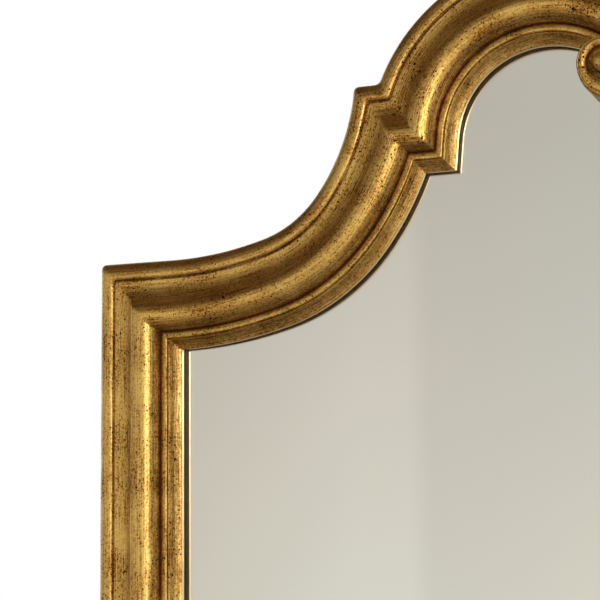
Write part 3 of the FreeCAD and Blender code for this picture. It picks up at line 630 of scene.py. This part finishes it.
# Back board: 6 mm hardboard, wood fibre pressed hot on a wire mesh, sawn to the outline and laid mesh
# side out over the rebate. Countersunk cross-head screws hold it to the frame all round.
def hardboard():
    """Dark brown fibre with the print of the mesh: a grid of small pits, square to the edges."""
    material, tree, shader = new_material("hardboard_mesh_side")
    mesh_pitch = 0.004  # drawn at over twice the real pitch, which is too fine to show
    tint, fibre = clouded(tree, 0.016, "#8E6844", "#7C5838", detail=6)
    place = add(tree, "ShaderNodeTexCoord").outputs["Object"]
    wires = []
    for direction in ("X", "Z"):
        wave = add(tree, "ShaderNodeTexWave", {"Vector": place, "Scale": math.pi / 10 / mesh_pitch},
                   bands_direction=direction).outputs["Fac"]
        wires.append(wave)
    pits = add(tree, "ShaderNodeMath", {0: wires[0], 1: wires[1]}, operation="MULTIPLY").outputs[0]
    shade = add(tree, "ShaderNodeMapRange", {0: pits, 1: 0.2, 2: 0.9, 4: 0.25}).outputs[0]
    printed = add(tree, "ShaderNodeMix", {0: shade, 6: tint, 7: colour("#4E321B")},
                  data_type="RGBA").outputs[2]
    height = add(tree, "ShaderNodeMath", {0: fibre, 1: pits}, operation="SUBTRACT").outputs[0]
    bump = add(tree, "ShaderNodeBump", {"Height": height, "Strength": 0.6, "Distance": 0.0003}).outputs[0]
    tree.links.new(printed, shader.inputs["Base Color"])
    tree.links.new(bump, shader.inputs["Normal"])
    shader.inputs["Roughness"].default_value = 0.8
    return material


dress("back_board", hardboard())
board_screws = cross_screws("back_board_screws", 0.0036, 0.00175, 0.0022, 0.00175, zinc)


# Crest block: a softwood keystone between the cut ends of the arches, with a tongue up behind the shell.
# It is gilded with the frame, and the carvings are dowelled, screwed and glued to it.
dress("crest_block", gilding)


# Scrolls: two volutes carved in limewood, left and right handed, that cover the ends of the sight edge.
# A rolled band with a quirk along its rim winds round a button eye, and its tail runs down to the middle.
scroll_low, scroll_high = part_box("crest_left_scroll")
scroll_rear = -scroll_high[1]
scroll_front = 0.040
volute_upper_radius, volute_lower_radius, volute_return_radius = 0.0206, 0.0306, 0.0176
tail_angle, crotch_angle = np.radians((65, 40))
tail_end_width, tail_sag_share = 0.018, 0.03
eye_inset = 0.019
eye = scroll_low[0] + eye_inset + 1j * (scroll_high[2] - eye_inset)
eye_radius, moat_radius, moat_front = 0.0085, 0.0124, 0.0310
band_edge_front = 0.0350


def turn(angle):
    """Unit vector at an angle, as a complex number."""
    return np.exp(1j * np.asarray(angle))


def scroll_edges():
    """The band's outer and inner edge, point for point. Outside: from the crotch over the return
    arc, round the volute and along the tail. Inside: round the moat, then along the top of the tail."""
    lower_centre = eye + volute_lower_radius - volute_upper_radius
    top = eye + 1j * volute_upper_radius
    return_centre = top - 1j * volute_return_radius
    crotch = return_centre + turn(-crotch_angle) * volute_return_radius
    tail_start = lower_centre + turn(np.pi + tail_angle) * volute_lower_radius
    toe = 1j * scroll_low[2]
    chord = toe - tail_start
    tail_middle = (tail_start + toe) / 2 - 1j * chord * tail_sag_share
    left = eye - volute_upper_radius
    below = lower_centre + turn(np.pi + tail_angle / 2) * volute_lower_radius
    steps = 48
    shares = np.arange(steps) / steps
    outer = np.concatenate((
        arc_through(crotch, return_centre + turn(np.pi / 4) * volute_return_radius, top, shares),
        arc_through(top, eye + turn(3 * np.pi / 4) * volute_upper_radius, left, shares),
        arc_through(left, below, tail_start, shares),
        arc_through(tail_start, tail_middle, toe, np.append(shares, 1)),
    ))
    first, under, last = np.angle(crotch - eye), np.radians(260), np.radians(305)
    angles = np.concatenate((
        first + (np.pi / 2 - first) * shares,
        np.pi / 2 * (1 + shares),
        np.pi + (under - np.pi) * shares,
        under + (last - under) * shares[::3],
    ))
    moat = eye + moat_radius * turn(angles)
    tail_top = toe + 1j * tail_end_width
    tail_steps = len(outer) - len(moat)
    tail = moat[-1] + (tail_top - moat[-1]) * np.arange(1, tail_steps + 1) / tail_steps
    inner = np.concatenate((moat, tail))
    return outer, inner


def carved_band():
    """Across the band the front swells as a half ellipse, cut by a quirk near the rim: the height
    is the root of v (1 - v), less a narrow bell at the quirk."""
    outer, inner = scroll_edges()
    across = np.linspace(0, 1, 41)
    quirk_line, quirk_reach, quirk_depth_share = 0.24, 0.05, 0.16
    quirk = np.exp(-((across - quirk_line) / quirk_reach) ** 2)
    most_swell_share = 0.55
    swell = np.minimum(scroll_front - band_edge_front, most_swell_share * abs(inner - outer))[:, None]
    front = band_edge_front + swell * (2 * np.sqrt(across * (1 - across)) - quirk_depth_share * quirk)
    flat = outer[:, None] + (inner - outer)[:, None] * across
    flat = np.concatenate((flat[:, :1], flat, flat[:, -1:]), axis=1)
    rear = np.full((len(outer), 1), scroll_rear)
    front = np.concatenate((rear, front, rear), axis=1)
    along = np.concatenate(((0,), np.cumsum(abs(np.diff(outer)))))[:, None]
    rim_glaze = 0.3 * np.exp(-(across / 0.04) ** 2)
    moat_glaze = 0.9 * np.exp(-((1 - across) / 0.10) ** 2)
    glaze = np.concatenate(((0,), 0.5 * quirk + rim_glaze + moat_glaze, (0,)))
    band_girth = 0.02 * np.linspace(0, 1, len(glaze))
    lay = np.stack(np.broadcast_arrays(along, band_girth, glaze), axis=-1)
    return np.stack((flat.real, -front, flat.imag), axis=-1), lay


def turned(centre, radii, fronts, glaze, lobes=0, lobe_share=0.0):
    """A profile of radii and fronts turned about an axis square to the wall; lobes draw the
    radius in and out as a cosine of the angle."""
    angle = np.linspace(0, 2 * np.pi, 97)[:-1]
    reach = np.asarray(radii)[:, None] * (1 - lobe_share + lobe_share * np.cos(lobes * angle))
    flat = centre + reach * turn(angle)
    front = np.broadcast_to(np.asarray(fronts)[:, None], flat.shape)
    lay = np.stack(np.broadcast_arrays(reach, reach / 3, np.asarray(glaze)[:, None]), axis=-1)
    return np.stack((flat.real, -front, flat.imag), axis=-1), lay


def eye_button():
    """A domed button: the front falls as the root of 1 - r squared, then a short wall to the moat."""
    share = np.linspace(0, 1, 15)
    button_edge_front = 0.0345
    radii = np.concatenate((eye_radius * share, (eye_radius, 0)))
    dome_rise = -scroll_low[1] - button_edge_front
    dome = button_edge_front + dome_rise * np.sqrt(1 - 0.97 * share ** 2)
    glaze = np.concatenate((share ** 8, (1, 0)))
    return turned(eye, radii, np.concatenate((dome, (moat_front, moat_front))), glaze)


def moat_floor():
    """A plain disc under the button, tucked under the band and dark with glaze."""
    tuck = 0.001
    radii = np.array((0, moat_radius + tuck, moat_radius + tuck, 0))
    moat_glaze = 0.7
    return turned(eye, radii, (moat_front, moat_front, scroll_rear, scroll_rear), np.full(4, moat_glaze))


def mirrored(grid, side):
    """A grid's points times the side across the middle plane, with their lay."""
    return grid[0] * (side, 1, 1), grid[1]


for hand, side in (("left", 1), ("right", -1)):
    band = (*mirrored(carved_band(), side), True, True)
    rounds = [(*mirrored(part, side), True, False) for part in (eye_button(), moat_floor())]
    scroll = put_grids(hand + "_scroll_carved", [band] + rounds, flip=side > 0)
    scroll.data.materials.append(gilding)
    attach(scroll, "frame")
    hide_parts("crest_" + hand + "_scroll")


# Shell: one limewood carving of seven fluted ribs that fan out from the boss, rounded at the tips.
# It is screwed through the block's tongue from behind and gilded like the frame.
boss_low, boss_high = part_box("crest_boss")
boss_radius = boss_high[0]
shell_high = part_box("crest_shell")[1]
shell_root = 1j * (boss_low[2] + boss_high[2]) / 2
shell_length = shell_high[2] - shell_root.imag
carving_rear = -boss_high[1]
shell_axis_sink = 0.0022
rib_angles = np.radians(16.0 * np.arange(-3, 4))
rib_lengths = shell_length * np.array((0.37, 0.75, 0.93, 1.0, 0.93, 0.75, 0.37))
rib_root_radius = 0.003
rib_flare = math.tan(math.radians(9.3))
rib_runs = (rib_lengths - rib_root_radius) / (1 + rib_flare)
rib_tips = rib_root_radius + rib_runs * rib_flare
rib_half_angle = math.radians(9.2)
flute_width_share, flute_depth_share, flute_run_out = 0.20, 0.09, 0.012


def shell_grid():
    """Rays from the boss to the scalloped outline. Each rib is a cone that ends in a ball, and at
    any point the front is the highest rib there, less a flute down the rib's middle."""
    angle = np.linspace(rib_angles[0] - rib_half_angle, rib_angles[-1] + rib_half_angle, 281)
    lean = angle[:, None] - rib_angles
    tips = np.sqrt(rib_tips ** 2 - shell_axis_sink ** 2)
    inside = np.maximum(tips ** 2 - (rib_runs * np.sin(lean)) ** 2, 0)
    on_rib = abs(lean) < rib_half_angle + math.radians(0.2)
    reach = np.where(on_rib, rib_runs * np.cos(lean) + np.sqrt(inside), 0).max(axis=1)
    glue_gap = 0.0002
    first = boss_radius + glue_gap
    share = np.linspace(0, 1, 70) ** 0.8
    radius = first + (reach[:, None] - first) * share
    run = radius[:, :, None] * np.cos(lean)[:, None]
    aside = radius[:, :, None] * np.sin(lean)[:, None]
    girth = rib_root_radius + rib_flare * np.minimum(run, rib_runs)
    height = np.sqrt(np.maximum(girth ** 2 - aside ** 2 - np.maximum(run - rib_runs, 0) ** 2, 0))
    flute = np.exp(-(aside / (flute_width_share * girth)) ** 2)
    flute = flute * np.clip((rib_runs - run) / flute_run_out, 0, 1)
    height = (height - flute_depth_share * girth * flute).max(axis=2)
    front = np.maximum(carving_rear - shell_axis_sink + height, carving_rear)
    valley = np.clip(1 - height / girth.max(axis=2) / 0.62, 0, 1)
    glaze = 0.9 * valley + 0.4 * flute.max(axis=2)
    x = radius * np.sin(angle)[:, None]
    z = shell_root.imag + radius * np.cos(angle)[:, None]
    face = np.stack((x, -front, z), axis=-1)
    foot = np.stack(np.broadcast_arrays(x[:, :1], -carving_rear, z[:, :1]), axis=-1)
    lay = np.stack(np.broadcast_arrays(radius, radius * angle[:, None] / 4, glaze), axis=-1)
    return np.concatenate((face, foot), axis=1), np.concatenate((lay, lay[:, :1]), axis=1)


shell = put_grids("shell_carved", [(*shell_grid(), True, True)], flip=True)
shell.data.materials.append(gilding)
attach(shell, "frame")
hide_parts("crest_shell")


# Boss: a limewood rosette, turned and then carved with eight petals round a bead.
# It is dowelled and glued to the block over the root of the shell, and gilded like the frame.
def boss_grid():
    """Petals swell as half a sine from the bead to the rim; the lobes scallop the rim."""
    top = -boss_low[1]
    share = np.linspace(0, 1, 13)
    bead_radius, bead_rise = 0.36 * boss_radius, 0.0045
    rim_height, petal_rise = 0.005, 0.0075
    bead = top - bead_rise + bead_rise * np.sqrt(1 - 0.98 * share ** 2)
    petal = carving_rear + rim_height + petal_rise * np.sin(np.pi * (0.30 + 0.70 * share))
    petal_radii = bead_radius + (boss_radius - bead_radius) * share
    radii = np.concatenate((bead_radius * share, petal_radii, (boss_radius, 0)))
    fronts = np.concatenate((bead, petal, (carving_rear, carving_rear)))
    glaze = np.concatenate((share ** 8, (1 - share) ** 6, (0, 0)))
    return turned(shell_root, radii, fronts, glaze, lobes=8, lobe_share=0.06)


boss = put_grids("boss_carved", [(*boss_grid(), True, False)], flip=True)
boss.data.materials.append(gilding)
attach(boss, "frame")
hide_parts("crest_boss")


# Crest screws and dowels: two zinc-plated screws through the block's tongue into the back of the shell,
# and beech pins that set the scrolls and the boss on the block while the glue dries.
shell_screws = cross_screws("crest_screws", 0.0038, 0.0020, 0.0024, 0.0020, zinc)
dress("crest_dowels", beech)


# Strap hangers: a steel strap on the rear of each stile, rolled at the top round the bar of a wire D-ring,
# so that the ring swings. Strap, ring and the two pan-head screws of each are brass plated.
# Warm yellow metal, a little browner in soft clouds
brass = plated("brass_plated_steel", 0.005, "#DDB963", "#B88D3E", 0.22, 0.38)
for hand in ("left", "right"):
    dress(hand + "_hanger_strap", brass)
    dress(hand + "_hanger_ring", brass)
strap_screws = cross_screws("hanger_screws", 0.0024, 0.0034, 0.0014, 0.0016, brass)


# Wall bumpers: two moulded rubber feet, glued to the rear of the bottom rail, as thick as the back board,
# so that the mirror hangs flat and off the wall.
dress("wall_bumpers", rubber)


# Studio: a round pale floor, soft lamps in front on the right and behind, and a room of warm grey walls.
# The camera stands right of the mirror, a little below its top, and looks up to the left.
floor_radius, floor_sides = 1.1, 96
floor_angles = np.linspace(0, 2 * np.pi, floor_sides + 1)[:-1]
floor_ring = np.stack((np.cos(floor_angles), np.sin(floor_angles), 0 * floor_angles), axis=-1)
floor_mesh = bpy.data.meshes.new("floor")
floor_points = floor_radius * floor_ring + (0, 0, bottom_z)
floor_mesh.from_pydata(floor_points.tolist(), [], [list(range(floor_sides))])
floor = bpy.data.objects.new("floor", floor_mesh)
bpy.context.scene.collection.objects.link(floor)
# Pale and matt, a little uneven
floor_mesh.materials.append(dry_finish("pale_floor_paint", 0.200, "#EFEFEC", "#EAEAE7", 0.8, 0.0))


def lamp(name, place, aim, size, power):
    """A square soft lamp at a place, turned to an aim."""
    light = bpy.data.lights.new(name, "AREA")
    light.size = size
    light.energy = power
    made = bpy.data.objects.new(name, light)
    made.location = place
    made.rotation_euler = (Vector(place) - Vector(aim)).to_track_quat("Z", "Y").to_euler()
    bpy.context.scene.collection.objects.link(made)


lamp("key_lamp", (1.5, -2.3, 0.9), (-0.3, 0, 0.3), 1.0, 24)
lamp("back_lamp", (1.9, 2.0, 0.9), (0, 0, -0.1), 1.6, 45)


def studio_world():
    """White to the camera, and to metal and glass where they mirror the backdrop behind the frame.
    Elsewhere a room whose light falls off upwards: two warm grey walls in front that meet on the
    left, a window to the right, dimmer flanks, a dim brown ceiling and floor."""
    world = bpy.data.worlds.new("studio")
    world.use_nodes = True
    tree = world.node_tree
    tree.nodes.clear()
    way = add(tree, "ShaderNodeTexCoord").outputs["Generated"]
    parts = add(tree, "ShaderNodeSeparateXYZ", {0: way}).outputs
    slope = add(tree, "ShaderNodeMath", {0: parts["X"], 1: parts["Y"]}, operation="DIVIDE").outputs[0]
    nearer = add(tree, "ShaderNodeMapRange", {0: slope, 1: 0.33, 2: 0.21}).outputs[0]
    right_tone = add(tree, "ShaderNodeMix", {0: nearer, 6: colour("#D3CEC4"), 7: colour("#D8D3C9")},
                     data_type="RGBA").outputs[2]
    farther = add(tree, "ShaderNodeMapRange", {0: slope, 1: 0.37, 2: 0.50}).outputs[0]
    left_tone = add(tree, "ShaderNodeMix", {0: farther, 6: colour("#DCD7CD"), 7: colour("#CFC8BD")},
                    data_type="RGBA").outputs[2]
    left_wall = add(tree, "ShaderNodeMapRange", {0: slope, 1: 0.322, 2: 0.336}).outputs[0]
    walls = add(tree, "ShaderNodeMix", {0: left_wall, 6: right_tone, 7: left_tone},
                data_type="RGBA").outputs[2]
    ceiling = add(tree, "ShaderNodeMapRange", {0: parts["Z"], 1: 0.26, 2: 0.60}).outputs[0]
    roofed = add(tree, "ShaderNodeMix", {0: ceiling, 6: walls, 7: colour("#5C4230")},
                 data_type="RGBA").outputs[2]
    ground = add(tree, "ShaderNodeMapRange", {0: parts["Z"], 1: -0.10, 2: -0.80}).outputs[0]
    tone = add(tree, "ShaderNodeMix", {0: ground, 6: roofed, 7: colour("#74553C")},
               data_type="RGBA").outputs[2]
    depth = add(tree, "ShaderNodeMath", {0: parts["Y"]}, operation="ABSOLUTE").outputs[0]
    flank = add(tree, "ShaderNodeMapRange", {0: depth, 1: 0.10, 2: 0.45, 3: 0.55, 4: 1.0}).outputs[0]
    window = add(tree, "ShaderNodeMapRange", {0: parts["X"], 1: 0.10, 2: 0.80, 3: 1.0, 4: 1.9}).outputs[0]
    fall = add(tree, "ShaderNodeMapRange", {0: parts["Z"], 1: -0.05, 2: 0.23, 3: 1.08, 4: 0.80}).outputs[0]
    lit = add(tree, "ShaderNodeMath", {0: window, 1: flank}, operation="MULTIPLY").outputs[0]
    strength = add(tree, "ShaderNodeMath", {0: lit, 1: fall}, operation="MULTIPLY").outputs[0]
    room = add(tree, "ShaderNodeBackground", {"Color": tone, "Strength": strength}).outputs[0]
    white = add(tree, "ShaderNodeBackground", {"Color": (1, 1, 1, 1), "Strength": 1.0}).outputs[0]
    ray = add(tree, "ShaderNodeLightPath").outputs
    shiny = add(tree, "ShaderNodeMath", {0: ray["Is Glossy Ray"], 1: ray["Is Transmission Ray"]},
                operation="MAXIMUM").outputs[0]
    rise = add(tree, "ShaderNodeMath", {0: parts["Z"]}, operation="ABSOLUTE").outputs[0]
    behind = add(tree, "ShaderNodeMath", {0: parts["Y"], 1: rise}, operation="SUBTRACT").outputs[0]
    backdrop = add(tree, "ShaderNodeMapRange", {0: behind, 1: 0.0, 2: 0.3}).outputs[0]
    mirrored_backdrop = add(tree, "ShaderNodeMath", {0: shiny, 1: backdrop},
                            operation="MULTIPLY").outputs[0]
    seen = add(tree, "ShaderNodeMath", {0: ray["Is Camera Ray"], 1: mirrored_backdrop},
               operation="MAXIMUM").outputs[0]
    mixed = add(tree, "ShaderNodeMixShader", {0: seen, 1: room, 2: white}).outputs[0]
    add(tree, "ShaderNodeOutputWorld", {0: mixed})
    return world


bpy.context.scene.world = studio_world()
bpy.context.scene.view_settings.view_transform = "Standard"

camera_place = (0.1897, -1.2836, 0.2619)
camera_yaw = math.radians(22.191)
camera_pitch = math.radians(7.291)
camera_roll = math.radians(-0.543)
lens = bpy.data.cameras.new("camera")
lens.lens = 102.0
lens.sensor_width = 36.0
camera = bpy.data.objects.new("camera", lens)
level_view = Matrix.Rotation(camera_yaw, 4, "Z") @ Matrix.Rotation(math.pi / 2 + camera_pitch, 4, "X")
camera.matrix_world = Matrix.Translation(camera_place) @ level_view @ Matrix.Rotation(camera_roll, 4, "Z")
bpy.context.scene.collection.objects.link(camera)
bpy.context.scene.camera = camera
